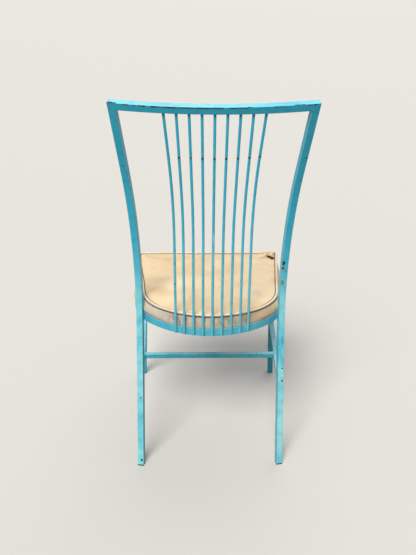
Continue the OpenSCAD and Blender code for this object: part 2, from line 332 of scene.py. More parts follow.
def spot(
    tree: bpy.types.NodeTree, place: bpy.types.NodeSocket, centre: Vector, radius_mm: float
) -> bpy.types.NodeSocket:
    """Lays out one ragged round patch.

    Args:
        tree: the material's tree.
        place: the point on the chair.
        centre: the patch's middle, in millimetres.
        radius_mm: its radius.

    Returns:
        A mask that is 1 in the patch.
    """
    radius = radius_mm * MM
    settings = {"operation": "DISTANCE", 1: tuple(centre * MM)}
    far = add_node(tree, "ShaderNodeVectorMath", settings, {0: place}).outputs["Value"]
    settings = {"Scale": per_metre(14), "Detail": 5, "Distortion": 0.6}
    ragged = add_node(tree, "ShaderNodeTexNoise", settings, {"Vector": place}).outputs["Fac"]
    settings = {"operation": "MULTIPLY_ADD", 1: radius}
    wavy = add_node(tree, "ShaderNodeMath", settings, {0: ragged, 2: far}).outputs[0]
    settings = {"From Min": radius * 0.6, "From Max": radius * 1.9, "To Min": 1.0, "To Max": 0.0}
    settings["interpolation_type"] = "SMOOTHSTEP"
    return add_node(tree, "ShaderNodeMapRange", settings, {"Value": wavy}).outputs["Result"]


@dataclass(frozen=True)
class BrushedEnamel:
    """Alkyd enamel brushed over steel tube, decades old: turquoise, chalky in patches, with a
    low orange-peel gloss.  Its edges are thin and let dark primer and brown rust through."""

    name: str = "alkyd enamel, brushed on steel, chalked and chipped"
    fresh: str = "30bbdc"
    pale_chalk_and_light: str = "a9f0f3"
    shaded: str = "1c86a8"
    primer: str = "3f3a38"
    rust: str = "5a3020"
    # The size of the chalky patches, of the mottling in them, and of the smallest chips
    patch_mm: float = 140.0
    mottle_mm: float = 16.0
    chip_mm: float = 5.0
    # Orange peel is finer than this; it is drawn coarse enough to break up the reflections
    peel_mm: float = 2.5
    # The tube's corners are rounded to about this radius
    corner_mm: float = 1.4
    # The pale chalk tone, partly real chalk and partly painted light, is full below the first
    # height and all but gone above the second, in metres
    chalk_and_light_low: float = 0.48
    chalk_and_light_high: float = 0.86
    # How much pale tone lies on faces that look upwards, at any height: painted light from overhead
    painted_top_light: float = 0.55
    chalk_and_light_cover: float = 0.85
    mottle_cover: float = 0.25
    # The sizes of the rubbed stretches of edge, the chipped ones, and the pitted patches
    rub_mm: float = 30.0
    run_mm: float = 42.0
    pit_mm: float = 60.0
    rub_cover: float = 0.5
    primer_mm: float = 7.0

    def make(self) -> bpy.types.Material:
        """Builds the material."""
        material, tree, shader = blank_material(self.name)
        place = add_node(tree, "ShaderNodeTexCoord").outputs["Object"]
        # Chalking in patches gives an old, uneven blue.  The pale tone is strongest on the lower
        # legs and on faces that look upwards and weakest on faces that look down: partly real
        # chalk, partly painted light from overhead and painted shade underneath
        height = add_node(tree, "ShaderNodeSeparateXYZ", links={0: place}).outputs["Z"]
        settings = {"From Min": self.chalk_and_light_low, "From Max": self.chalk_and_light_high}
        settings |= {"To Min": 1.0, "To Max": 0.05}
        lower = add_node(tree, "ShaderNodeMapRange", settings, {"Value": height}).outputs["Result"]
        sharp = add_node(tree, "ShaderNodeNewGeometry").outputs["Normal"]
        upward = add_node(tree, "ShaderNodeSeparateXYZ", links={0: sharp}).outputs["Z"]
        settings = {"From Min": -0.05, "From Max": 0.22, "To Min": 0.1, "To Max": 1.0}
        links = {"Value": upward}
        painted_light_facing = add_node(tree, "ShaderNodeMapRange", settings, links).outputs["Result"]
        settings = {"From Min": 0.5, "From Max": 0.9, "To Min": 0.0, "To Max": self.painted_top_light}
        painted_top_light_mask = add_node(tree, "ShaderNodeMapRange", settings, links).outputs["Result"]
        clouds = patches(tree, place, self.patch_mm, 0.15, 0.60, 3, 0.6)
        times, larger = {"operation": "MULTIPLY"}, {"operation": "MAXIMUM"}
        share = add_node(tree, "ShaderNodeMath", times, {0: lower, 1: painted_light_facing}).outputs[0]
        share = add_node(tree, "ShaderNodeMath", larger, {0: share, 1: painted_top_light_mask}).outputs[0]
        chalk_and_painted_light = add_node(tree, "ShaderNodeMath", times, {0: clouds, 1: share}).outputs[0]
        colour = coat(tree, linear(self.fresh), linear(self.pale_chalk_and_light), chalk_and_painted_light, self.chalk_and_light_cover)
        mottle = patches(tree, place, self.mottle_mm, 0.40, 0.72, 5, 0.3)
        colour = coat(tree, colour, linear(self.shaded), mottle, self.mottle_cover)
        # The difference between the true and the rounded normal is large only at the edges
        rounded = add_node(tree, "ShaderNodeBevel", {"samples": 4, "Radius": self.corner_mm * MM})
        links = {0: rounded.outputs[0], 1: sharp}
        facing = add_node(tree, "ShaderNodeVectorMath", {"operation": "DOT_PRODUCT"}, links)
        settings = {"From Min": 0.80, "From Max": 0.97, "To Min": 1.0, "To Max": 0.0}
        links = {"Value": facing.outputs["Value"]}
        edge = add_node(tree, "ShaderNodeMapRange", settings, links).outputs[0]
        # Thin paint on the edges looks paler where it is rubbed, and has chipped in short runs
        thin = patches(tree, place, self.rub_mm, 0.35, 0.75, 3)
        rubbed = add_node(tree, "ShaderNodeMath", times, {0: edge, 1: thin}).outputs[0]
        colour = coat(tree, colour, linear(self.pale_chalk_and_light), rubbed, self.rub_cover)
        runs = patches(tree, place, self.run_mm, 0.56, 0.66, 2)
        flecks = patches(tree, place, self.chip_mm, 0.50, 0.62, 5, 0.5)
        broken = add_node(tree, "ShaderNodeMath", times, {0: runs, 1: flecks}).outputs[0]
        edge_chips = add_node(tree, "ShaderNodeMath", times, {0: edge, 1: broken}).outputs[0]
        sparse = patches(tree, place, self.pit_mm, 0.60, 0.68, 2, 0)
        pits = patches(tree, place, self.chip_mm * 0.8, 0.72, 0.76, 4, 0.2)
        pitted = add_node(tree, "ShaderNodeMath", times, {0: sparse, 1: pits}).outputs[0]
        chips = add_node(tree, "ShaderNodeMath", larger, {0: edge_chips, 1: pitted}).outputs[0]
        rusty = patches(tree, place, self.primer_mm, 0.42, 0.60)
        under = coat(tree, linear(self.primer), linear(self.rust), rusty)
        tree.links.new(coat(tree, colour, under, chips), shader.inputs["Base Color"])
        # Chalk and bare chips are matt; the paint between them keeps some of its gloss
        settings = {"To Min": 0.30, "To Max": 0.44}
        gloss = add_node(tree, "ShaderNodeMapRange", settings, {"Value": chalk_and_painted_light}).outputs["Result"]
        settings = {"operation": "MULTIPLY_ADD", 1: 0.5}
        rough = add_node(tree, "ShaderNodeMath", settings, {0: chips, 2: gloss}).outputs[0]
        tree.links.new(rough, shader.inputs["Roughness"])
        shader.inputs["Specular IOR Level"].default_value = 0.35
        # The enamel stands proud of the chips, over a slight peel
        settings = {"Scale": per_metre(self.peel_mm), "Detail": 3}
        peel = add_node(tree, "ShaderNodeTexNoise", settings, {"Vector": place}).outputs["Fac"]
        settings = {"operation": "MULTIPLY_ADD", 1: -6.0}
        relief = add_node(tree, "ShaderNodeMath", settings, {0: chips, 2: peel}).outputs[0]
        settings = {"Strength": 0.35, "Distance": 0.04 * MM}
        links = {"Height": relief, "Normal": rounded.outputs[0]}
        bump = add_node(tree, "ShaderNodeBump", settings, links)
        tree.links.new(bump.outputs[0], shader.inputs["Normal"])
        return material


@dataclass(frozen=True)
class Corrosion:
    """What is left where a flake has gone: dry rust, old primer, bare steel or a pale scuff."""

    wear: Wear
    # Crumbly specks, a few tenths of a millimetre across in life, are drawn at this size
    speck_mm: float = 2.0

    TONES = {
        Wear.RUST: ("2c160e", "5e3521", 0.92, 0.0),
        Wear.PRIMER: ("2a2c2e", "4a4644", 0.80, 0.0),
        Wear.BARE: ("6f7a5c", "93a07c", 0.60, 0.2),
        Wear.SCUFF: ("c9e4e4", "e8f4f2", 0.65, 0.0),
    }

    def make(self) -> bpy.types.Material:
        """Builds the material."""
        dark, light, rough, metal = self.TONES[self.wear]
        material, tree, shader = blank_material(f"{self.wear.value} under flaked enamel")
        place = add_node(tree, "ShaderNodeTexCoord").outputs["Object"]
        specks = patches(tree, place, self.speck_mm, 0.38, 0.66, 6)
        tree.links.new(coat(tree, linear(dark), linear(light), specks), shader.inputs["Base Color"])
        shader.inputs["Roughness"].default_value = rough
        shader.inputs["Metallic"].default_value = metal
        settings = {"Strength": 0.7, "Distance": 0.3 * MM}
        bump = add_node(tree, "ShaderNodeBump", settings, {"Height": specks})
        tree.links.new(bump.outputs[0], shader.inputs["Normal"])
        return material


@dataclass(frozen=True)
class CreamVinyl:
    """Calendered PVC upholstery on a knit backing: cream, with a pressed leather grain, yellowed
    and water-stained, and grey with dirt and painted shade along its seams."""

    name: str = "PVC upholstery vinyl, calendered and embossed"
    clean: str = "e8cfa5"
    yellowed: str = "dfbd8f"
    greyed: str = "d9cfc6"
    stain: str = "b08458"
    # The next tone darkens the vinyl with dirt, and with painted shade in the seams, creases and
    # tear
    dirt_and_shade_tone: str = "6f5f50"
    rust: str = "8a5034"
    # The pressed grain is about 1 mm in life, drawn coarser so that it shows
    grain_mm: float = 2.2
    cloud_mm: float = 90.0
    stains: tuple[tuple[float, float, float, float], ...] = (
        (122, -132, 454, 20),
        (141, 6, 455, 42),
        (133, 51, 455, 24),
        (64, -150, 455, 12),
        (-26, 36, 455, 7),
        (-124, 69, 455, 20),
    )
    rust_marks: tuple[tuple[float, float, float, float], ...] = (
        (-165, 86, 436, 7),
        (-188, -170, 452, 8),
    )
    # How strongly each tone covers the vinyl where it lies
    yellow_cover: float = 0.75
    stain_cover: float = 0.26
    rust_cover: float = 0.55
    speck_cover: float = 0.35
    dirt_and_shade_mm: float = 22.0
    speck_mm: float = 5.0
    foam_mm: float = 12.0

    def make(self) -> bpy.types.Material:
        """Builds the material."""
        material, tree, shader = blank_material(self.name)
        place = add_node(tree, "ShaderNodeTexCoord").outputs["Object"]
        # Large warm clouds of yellowing
        cloud = patches(tree, place, self.cloud_mm, 0.36, 0.70, 4, 0.5)
        colour = coat(tree, linear(self.clean), linear(self.yellowed), cloud, self.yellow_cover)
        # The side wall is greyer than the panel, most of all on the left
        normal = add_node(tree, "ShaderNodeNewGeometry").outputs["Normal"]
        upward = add_node(tree, "ShaderNodeSeparateXYZ", links={0: normal}).outputs["Z"]
        settings = {"From Min": 0.35, "From Max": 0.75, "To Min": 1.0, "To Max": 0.0}
        wall = add_node(tree, "ShaderNodeMapRange", settings, {"Value": upward}).outputs["Result"]
        sideways = add_node(tree, "ShaderNodeSeparateXYZ", links={0: place}).outputs["X"]
        settings = {"From Min": -0.16, "From Max": 0.12, "To Min": 0.15, "To Max": 0.85}
        left = add_node(tree, "ShaderNodeMapRange", settings, {"Value": sideways}).outputs["Result"]
        times = {"operation": "MULTIPLY"}
        grey_wall_share = add_node(tree, "ShaderNodeMath", times, {0: wall, 1: left}).outputs[0]
        colour = coat(tree, colour, linear(self.greyed), grey_wall_share)
        marks = [(mark, self.stain, self.stain_cover) for mark in self.stains]
        marks += [(mark, self.rust, self.rust_cover) for mark in self.rust_marks]
        for (x, y, z, size), tone, cover in marks:
            mask = spot(tree, place, Vector((x, y, z)), size)
            colour = coat(tree, colour, linear(tone), mask, cover)
        # Dirt and painted shade lie where the mesh's values say: painted shade with some dirt along
        # the seams, in the creases, at the foot of the wall and round the tear, and dirt at the hem
        dirt_and_shade_value = add_node(tree, "ShaderNodeAttribute", {"attribute_name": "dirt_and_shade"}).outputs["Fac"]
        broken = patches(tree, place, self.dirt_and_shade_mm, 0.05, 0.75, 6)
        dirt_and_shade_mask = add_node(tree, "ShaderNodeMath", times, {0: dirt_and_shade_value, 1: broken}).outputs[0]
        colour = coat(tree, colour, linear(self.dirt_and_shade_tone), dirt_and_shade_mask)
        specks = patches(tree, place, self.speck_mm, 0.70, 0.76)
        colour = coat(tree, colour, linear(self.stain), specks, self.speck_cover)
        tree.links.new(colour, shader.inputs["Base Color"])
        settings = {"To Min": 0.42, "To Max": 0.54}
        rough = add_node(tree, "ShaderNodeMapRange", settings, {"Value": cloud}).outputs["Result"]
        tree.links.new(rough, shader.inputs["Roughness"])
        # The pressed grain, over the slow unevenness of the foam beneath
        settings = {"Scale": per_metre(self.grain_mm), "feature": "DISTANCE_TO_EDGE"}
        links = {"Vector": place}
        cells = add_node(tree, "ShaderNodeTexVoronoi", settings, links).outputs["Distance"]
        settings = {"Scale": per_metre(self.foam_mm), "Detail": 4}
        uneven = add_node(tree, "ShaderNodeTexNoise", settings, links).outputs["Fac"]
        settings = {"operation": "MULTIPLY_ADD", 1: 0.5}
        pressed = add_node(tree, "ShaderNodeMath", settings, {0: cells, 2: uneven}).outputs[0]
        settings = {"Strength": 0.22, "Distance": 0.5 * MM}
        bump = add_node(tree, "ShaderNodeBump", settings, {"Height": pressed})
        tree.links.new(bump.outputs[0], shader.inputs["Normal"])
        return material


@dataclass(frozen=True)
class PlainStuff:
    """A one-colour stuff with its own grain, such as moulded plastic, thread, foam or plate."""

    name: str
    dark: str
    light: str
    grain_mm: float
    roughness: float
    metallic: float = 0.0
    relief_mm: float = 0.2
    stretch: tuple[float, float, float] = (1.0, 1.0, 1.0)
    low: float = 0.35
    high: float = 0.65

    def make(self) -> bpy.types.Material:
        """Builds the material."""
        material, tree, shader = blank_material(self.name)
        spot_on = add_node(tree, "ShaderNodeTexCoord").outputs["Object"]
        settings = {"Scale": self.stretch}
        place = add_node(tree, "ShaderNodeMapping", settings, {"Vector": spot_on}).outputs[0]
        pattern = patches(tree, place, self.grain_mm, self.low, self.high, 5)
        colour = coat(tree, linear(self.dark), linear(self.light), pattern)
        tree.links.new(colour, shader.inputs["Base Color"])
        settings = {"To Min": self.roughness, "To Max": self.roughness - 0.15}
        rough = add_node(tree, "ShaderNodeMapRange", settings, {"Value": pattern}).outputs["Result"]
        tree.links.new(rough, shader.inputs["Roughness"])
        shader.inputs["Metallic"].default_value = self.metallic
        settings = {"Strength": 0.5, "Distance": self.relief_mm * MM}
        bump = add_node(tree, "ShaderNodeBump", settings, {"Height": pattern})
        tree.links.new(bump.outputs[0], shader.inputs["Normal"])
        return material


# Injection-moulded polyethylene: black, with a dull sheen and grey scuffs from the floor
GLIDE = PlainStuff("polyethylene glide, moulded, scuffed", "101112", "2a2b2c", 6, 0.62)
# Birch plywood: warm brown veneer with long dark grain lines across the seat
PLYWOOD = PlainStuff(
    "birch plywood, rotary-cut, sanded", "7b5636", "b98e5e", 9, 0.72, stretch=(0.12, 1, 1)
)
# Slab polyurethane foam: open cells, oxidised to a deep crumbly brown; its darkness inside the tear
# is partly painted shade
FOAM = PlainStuff(
    "polyurethane foam, slab-cut, perished", "4a3419", "8a6836", 3, 0.95, relief_mm=1.2
)
# Zinc-plated steel: grey, with a bluish cast gone dull and brown at the slots
ZINC = PlainStuff("steel screw, zinc-plated, tarnished", "6a5848", "a9aaac", 2.5, 0.45, 0.9)
# Polyester thread and the dirt in its seam, with painted shade of the groove: a thin dark line
# beside the piping
THREAD_WITH_GROOVE_SHADE = PlainStuff("polyester thread, twisted, soiled, painted groove shade", "33302f", "6d5f4e", 6, 0.9)
# Galvanised wire staples: small bright steel with brown spots
STAPLE = PlainStuff("steel staple, galvanised, spotted", "7a6048", "b8b8b6", 2, 0.4, 0.9)


# ---- Frame ----


@dataclass(frozen=True)
class Flake:
    """One place where the enamel has come away."""

    node: str
    at: tuple[float, float, float]
    wear: Wear
    length: float
    width: float
    turn: float = 0.0


RUST, PRIMER, BARE, SCUFF = Wear.RUST, Wear.PRIMER, Wear.BARE, Wear.SCUFF
FLAKES: tuple[Flake, ...] = (
    # Along the rear upper edge of the rail, from the left corner to the right one
    Flake("back_leg_left", (220.5, 163.0, 961.0), PRIMER, 6, 9),
    Flake("top_rail", (217.4, 166.5, 963.3), RUST, 13, 8),
    Flake("top_rail", (209.0, 168.6, 962.9), RUST, 12, 7),
    Flake("top_rail", (190.0, 171.6, 961.4), RUST, 6, 4),
    Flake("top_rail", (182.4, 172.6, 960.6), RUST, 9, 4.5),
    Flake("top_rail", (166.3, 174.4, 959.4), PRIMER, 5, 2.5),
    Flake("top_rail", (154.8, 175.8, 959.0), RUST, 7, 3.5),
    Flake("top_rail", (147.0, 176.6, 958.4), RUST, 9, 4.5),
    Flake("top_rail", (122.0, 179.2, 957.6), PRIMER, 22, 4.2),
    Flake("top_rail", (92.0, 181.7, 956.8), PRIMER, 38, 4.4),
    Flake("top_rail", (58.0, 183.4, 956.6), PRIMER, 42, 4.6),
    Flake("top_rail", (26.0, 184.5, 956.4), PRIMER, 40, 4.4),
    Flake("top_rail", (-5.0, 184.8, 956.6), PRIMER, 30, 4.4),
    Flake("top_rail", (-40.0, 184.4, 957.0), RUST, 24, 4.6),
    Flake("top_rail", (-60.0, 183.6, 957.6), RUST, 22, 4.8),
    Flake("top_rail", (-74.0, 182.8, 958.0), PRIMER, 10, 4.0),
    Flake("top_rail", (-128.3, 179.0, 959.2), RUST, 10, 5),
    Flake("top_rail", (-137.0, 178.0, 959.6), RUST, 9, 5),
    Flake("top_rail", (-143.5, 177.2, 959.7), PRIMER, 6, 3),
    Flake("top_rail", (-174.0, 173.0, 961.4), RUST, 12, 4.4),
    Flake("top_rail", (-186.0, 171.6, 961.6), RUST, 14, 4.2),
    Flake("top_rail", (-199.0, 170.2, 961.6), RUST, 12, 4),
    Flake("top_rail", (-211.5, 168.6, 961.8), RUST, 8, 5),
    # A rubbed band across eight of the spindles, and small chips and scuffs lower down
    Flake("spindle_2", (75.2, 179.0, 846.2), RUST, 5.6, 5.6),
    Flake("spindle_3", (50.4, 181.0, 846.9), PRIMER, 5.2, 5.0),
    Flake("spindle_4", (24.2, 182.0, 846.1), RUST, 6.0, 6.0),
    Flake("spindle_5", (-1.6, 182.0, 846.2), RUST, 5.4, 5.4),
    Flake("spindle_6", (-27.5, 182.0, 846.2), RUST, 6.4, 6.0),
    Flake("spindle_7", (-53.0, 181.5, 846.1), RUST, 5.8, 5.6),
    Flake("spindle_8", (-78.2, 181.0, 846.0), RUST, 6.6, 6.0),
    Flake("spindle_9", (-102.4, 179.0, 845.5), RUST, 6.0, 6.0),
    Flake("spindle_1", (88.9, 157.5, 585.7), RUST, 4, 2.6),
    Flake("spindle_1", (89.7, 159.8, 533.0), RUST, 4.4, 2.8),
    Flake("spindle_5", (-2.0, 172.6, 655.0), SCUFF, 1.6, 30, 0.05),
    Flake("spindle_5", (-2.4, 174.1, 606.0), SCUFF, 1.4, 34, -0.03),
    # Legs, from the top down
    Flake("back_leg_left", (202.7, 125.8, 815.6), PRIMER, 4.5, 2.4, 0.6),
    Flake("back_leg_right", (-208.5, 131.0, 836.4), RUST, 4.6, 3.6),
    Flake("back_leg_right", (-204.0, 115.3, 780.0), RUST, 3.8, 3.0),
    Flake("back_leg_right", (-179.9, 93.7, 555.0), RUST, 12.0, 10.0),
    Flake("back_leg_right", (-178.4, 94.4, 542.5), RUST, 9.5, 9.0),
    Flake("back_leg_right", (-187.4, 93.1, 534.0), BARE, 7.0, 6.0),
    Flake("back_leg_right", (-180.5, 96.7, 502.0), BARE, 11.0, 15.0),
    Flake("back_leg_right", (-189.8, 145.4, 270.7), PRIMER, 5.0, 4.4),
    Flake("back_leg_right", (-189.6, 150.9, 251.5), SCUFF, 3.0, 5.0),
    Flake("back_leg_right", (-190.3, 154.4, 236.5), PRIMER, 5.4, 6.4),
    Flake("back_leg_right", (-189.0, 128.0, 346.0), PRIMER, 1.1, 22),
    Flake("back_leg_right", (-189.8, 136.0, 312.0), SCUFF, 1.4, 26, 0.05),
    Flake("back_leg_left", (186.1, 166.8, 192.7), BARE, 5.4, 7.4),
    Flake("back_leg_left", (187.1, 212.9, 16.7), RUST, 7.0, 6.0),
    Flake("cross_stretcher", (-135.7, 14.3, 226.3), RUST, 6.0, 4.6),
)


@dataclass
class PaintLoss:
    """Flakes of lost enamel: thin ragged skins of what shows there, laid on the metal."""

    finishes: dict[Wear, bpy.types.Material]
    # How far a flake's middle stands off the metal, and what share of that its rim does
    lift: float = 0.14
    rim_lift: float = 0.35
    # Its outline's corners, and how far the broad lobes and the fine teeth in it reach
    spokes: int = 18
    lobes: float = 0.38
    teeth: float = 0.22
    stray_count: int = 60
    stray_seed: int = 7
    shells: dict[str, BVHTree] = field(default_factory=dict)

    def strays(self) -> list[Flake]:
        """Small chips scattered along the edges of the legs, rail, ring and stretchers."""
        dice = random.Random(self.stray_seed)
        hosts = ["back_leg_left", "back_leg_right", "top_rail", "seat_ring", "cross_stretcher"]
        hosts += [f"{name}_{side}" for name in ("front_leg", "side_stretcher") for side in SIDES]
        found: list[Flake] = []
        for _ in range(self.stray_count):
            host = dice.choice(hosts)
            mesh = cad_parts[host].data
            edge = mesh.edges[dice.randrange(len(mesh.edges))]
            a, b = (mesh.vertices[v].co / MM for v in edge.vertices)
            at = a.lerp(b, dice.random())
            size = dice.uniform(0.9, 2.4)
            wear = dice.choice((RUST, RUST, PRIMER))
            length, turn = size * dice.uniform(1, 2), dice.uniform(0, 3)
            found.append(Flake(host, tuple(at), wear, length, size, turn))
        return found

    def lay(self, flake: Flake, seed: int, skin: Skin) -> None:
        """Adds one flake.

        Args:
            flake: where it is and how large.
            seed: makes its outline its own.
            skin: the flakes so far, which grow.
        """
        if flake.node not in self.shells:
            self.shells[flake.node] = shell(flake.node)
        host = self.shells[flake.node]
        centre, normal, _, _ = host.find_nearest(Vector(flake.at))
        level = UP.cross(normal)
        level = level.normalized() if level.length > 0.2 else Vector((1, 0, 0))
        level.rotate(Matrix.Rotation(flake.turn, 3, normal))
        upright = normal.cross(level)
        start = len(skin.points)
        skin.points.append(centre + normal * self.lift)
        for share, lift in ((0.5, self.lift), (1.0, self.lift * self.rim_lift)):
            for k in range(self.spokes):
                turn = 2 * math.pi * k / self.spokes
                heading = Vector((math.cos(turn), math.sin(turn), seed * 3.1))
                ragged = 1 + self.lobes * noise.noise(heading * 1.6)
                ragged += self.teeth * noise.noise(heading * 5.3)
                across = level * (math.cos(turn) * flake.length / 2)
                up = upright * (math.sin(turn) * flake.width / 2)
                wanted = centre + (across + up) * (ragged * share)
                place, facing, _, _ = host.find_nearest(wanted)
                skin.points.append(place + facing * lift)
        inner, outer = start + 1, start + 1 + self.spokes
        for k in range(self.spokes):
            n = (k + 1) % self.spokes
            skin.faces.append((start, inner + k, inner + n))
            skin.faces.append((inner + k, outer + k, outer + n, inner + n))

    def build(self) -> None:
        """Lays every flake, one piece for each kind of wear."""
        every = list(FLAKES) + self.strays()
        for wear, finish in self.finishes.items():
            skin = Skin()
            for number, flake in enumerate(every):
                if flake.wear is wear:
                    self.lay(flake, number, skin)
            hand_over(skin.piece(f"paint_loss_{wear.value}", finish))


@dataclass
class Welds:
    """The brazed and welded joints, painted over with the frame."""

    finish: bpy.types.Material
    skin: Skin = field(default_factory=Skin)
    # The ripples that the electrode leaves, and the step in which a bead is drawn
    ripple_mm: float = 2.6
    step_mm: float = 1.1
    # How far the ripples and the slower unevenness change its radius, as shares, and its size
    ripple: float = 0.14
    uneven: float = 0.22
    uneven_mm: float = 6.0
    # Radii of the beads between tubes, at the rail's mitres, along a spindle, under its foot
    # and round its head
    joint_r: float = 1.5
    mitre_r: float = 0.8
    foot_r: float = 1.35
    under_r: float = 1.5
    head_r: float = 1.0
    spindle_r: float = 3.175
    # How far a spindle's weld runs up the ring, and half the bead's length under its foot
    foot_h: float = 11.5
    under_w: float = 2.2
    # How many corners the bead round a spindle's head has
    head_parts: int = 14

    def bead(self, path: Sequence[Vector], radius: float, closed: bool) -> None:
        """Adds a rippled bead along a path.

        Args:
            path: its corners.
            radius: its middle radius.
            closed: whether it goes all the way round.
        """
        steps = even_path(path, self.step_mm, closed)

        def thickness(i: int) -> float:
            ripple = self.ripple * math.sin(2 * math.pi * i * self.step_mm / self.ripple_mm)
            end = 1.0 if closed else min(1.0, 0.55 + 0.25 * min(i, len(steps) - 1 - i))
            slow = self.uneven * nudge(steps[i], self.uneven_mm, 3.0)
            return radius * end * (0.92 + ripple + slow)

        self.skin.sweep(steps, thickness, 8, closed)

    def contact(self, a: str, b: str, within: float = 0.25) -> list[Vector]:
        """The outline of the place where two pieces meet.

        Args:
            a: the piece whose corners are looked at.
            b: the piece that they lie on.
            within: how near they lie, in millimetres.

        Returns:
            The outermost corners, in order round the middle.
        """
        host = shell(b)
        near: list[Vector] = []
        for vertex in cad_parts[a].data.vertices:
            corner = vertex.co / MM
            found = host.find_nearest(corner, within)
            if found[0] is not None and all((corner - n).length > 0.3 for n in near):
                near.append(corner)
        if len(near) < 3:
            LOG.info("no contact between %s and %s", a, b)
            return []
        middle = sum(near, Vector()) / len(near)
        far = max(near, key=lambda n: (n - middle).length) - middle
        side = max(near, key=lambda n: far.normalized().cross(n - middle).length) - middle
        normal = far.cross(side).normalized()
        first = far.normalized()
        second = normal.cross(first)

        def bearing(n: Vector) -> float:
            return math.atan2((n - middle).dot(second), (n - middle).dot(first))

        around = sorted(near, key=bearing)
        reach = max((n - middle).length for n in around)
        kept = [n for n in around if (n - middle).length > 0.86 * reach]
        return kept if len(kept) >= 3 else around

    def build(self) -> None:
        """Lays the beads at every joint."""
        for side in SIDES:
            pairs = (
                (f"back_leg_{side}", "top_rail", self.mitre_r),
                (f"side_stretcher_{side}", f"back_leg_{side}", self.joint_r),
                (f"side_stretcher_{side}", f"front_leg_{side}", self.joint_r),
                ("cross_stretcher", f"side_stretcher_{side}", self.joint_r),
                (f"front_leg_{side}", "seat_ring", self.joint_r),
                (f"back_leg_{side}", "seat_ring", self.joint_r),
            )
            for a, b, radius in pairs:
                outline = self.contact(a, b)
                if outline:
                    self.bead(outline, radius, True)
        for number in range(1, 10):
            self.spindle_ends(f"spindle_{number}")
        hand_over(self.skin.piece("weld_beads", self.finish))

    def spindle_ends(self, node: str) -> None:
        """Adds the welds at a spindle's two ends.

        Args:
            node: the spindle.
        """
        corners = [v.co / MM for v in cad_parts[node].data.vertices]
        low = min(c.z for c in corners)
        foot = [c for c in corners if c.z < low + 1.5]
        base = sum(foot, Vector()) / len(foot)
        middle_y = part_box("seat_ring")[1].y / MM - SEAT_SIZES.back_r
        outward = Vector((base.x, base.y - middle_y, 0)).normalized()
        along_ring = Vector((-outward.y, outward.x, 0))
        for way in (-1, 1):
            edge = base - outward * (self.spindle_r * 0.82)
            edge += along_ring * (way * self.spindle_r * 0.72)
            edge.z = low + 1.5
            self.bead([edge, edge + UP * self.foot_h], self.foot_r, False)
        under = base - outward * (self.spindle_r * 0.4)
        under.z = low - 0.2
        half = along_ring * self.under_w
        self.bead([under - half, under + half], self.under_r, False)
        high = max(c.z for c in corners)
        head = [c for c in corners if c.z > high - 4]
        top = sum(head, Vector()) / len(head)
        ring = []
        for k in range(self.head_parts):
            turn = 2 * math.pi * k / self.head_parts
            out = Vector((math.cos(turn), math.sin(turn), -0.3 * math.sin(turn)))
            ring.append(top + out * (self.spindle_r + 0.3) + UP * 0.6)
        self.bead(ring, self.head_r, True)


# ---- Seat ----


@dataclass(frozen=True)
class SeatSizes:
    """Sizes of the seat, in millimetres.

    They are those of the chair's solids, except side_taper and welt_corner_r: the soft cover
    draws in a little more than its solid does, by 26.5 against 21.8 and 122 against 112.
    """

    back_r: float = 228.8
    corner_r: float = 148.0
    front_r: float = 8.0
    edge: float = 1.0
    overhang: float = 4.0
    side_taper: float = 26.5
    front_taper: float = 4.0
    back_taper: float = 4.0
    welt_corner_r: float = 122.0
    welt_front_r: float = 14.0
    wall_h: float = 36.0
    crown: float = 8.0


SEAT_SIZES = SeatSizes()


@dataclass(frozen=True)
class Outline:
    """A D-shaped outline: a back arc, two corner arcs, sides, front corners and a front."""

    back_centre: Vector
    back_r: float
    corner_centre: Vector
    corner_r: float
    front_centre: Vector
    front_r: float
    # How many points each stretch of one half gets, from the back's middle to the front's
    parts: tuple[int, ...] = (34, 40, 84, 16, 38)

    def half(self) -> list[Vector]:
        """The left half's points, from the middle of the back round to the middle of the front."""
        apart = self.corner_centre - self.back_centre
        meet = math.atan2(apart.x, apart.y)
        run = self.front_centre - self.corner_centre
        turn = math.acos((self.corner_r - self.front_r) / run.length)
        leave = math.atan2(run.x, run.y) - turn

        def arc(centre: Vector, radius: float, a: float, b: float, count: int) -> list[Vector]:
            turns = (a + (b - a) * i / count for i in range(count))
            return [centre + Vector((math.sin(t), math.cos(t), 0)) * radius for t in turns]

        back, corner, side, front, close = self.parts
        points = arc(self.back_centre, self.back_r, 0, meet, back)
        points += arc(self.corner_centre, self.corner_r, meet, leave, corner)
        out = Vector((math.sin(leave), math.cos(leave), 0))
        begin = self.corner_centre + out * self.corner_r
        end = self.front_centre + out * self.front_r
        points += [begin.lerp(end, i / side) for i in range(side)]
        points += arc(self.front_centre, self.front_r, leave, math.pi, front)
        begin = self.front_centre - Vector((0, self.front_r, 0))
        end = Vector((0, begin.y, 0))
        points += [begin.lerp(end, i / close) for i in range(close)]
        return points + [end]

    def loop(self) -> list[Vector]:
        """The whole outline, clockwise from the middle of the back."""
        half = self.half()
        other = [Vector((-p.x, p.y, 0)) for p in reversed(half[1:-1])]
        return half + other


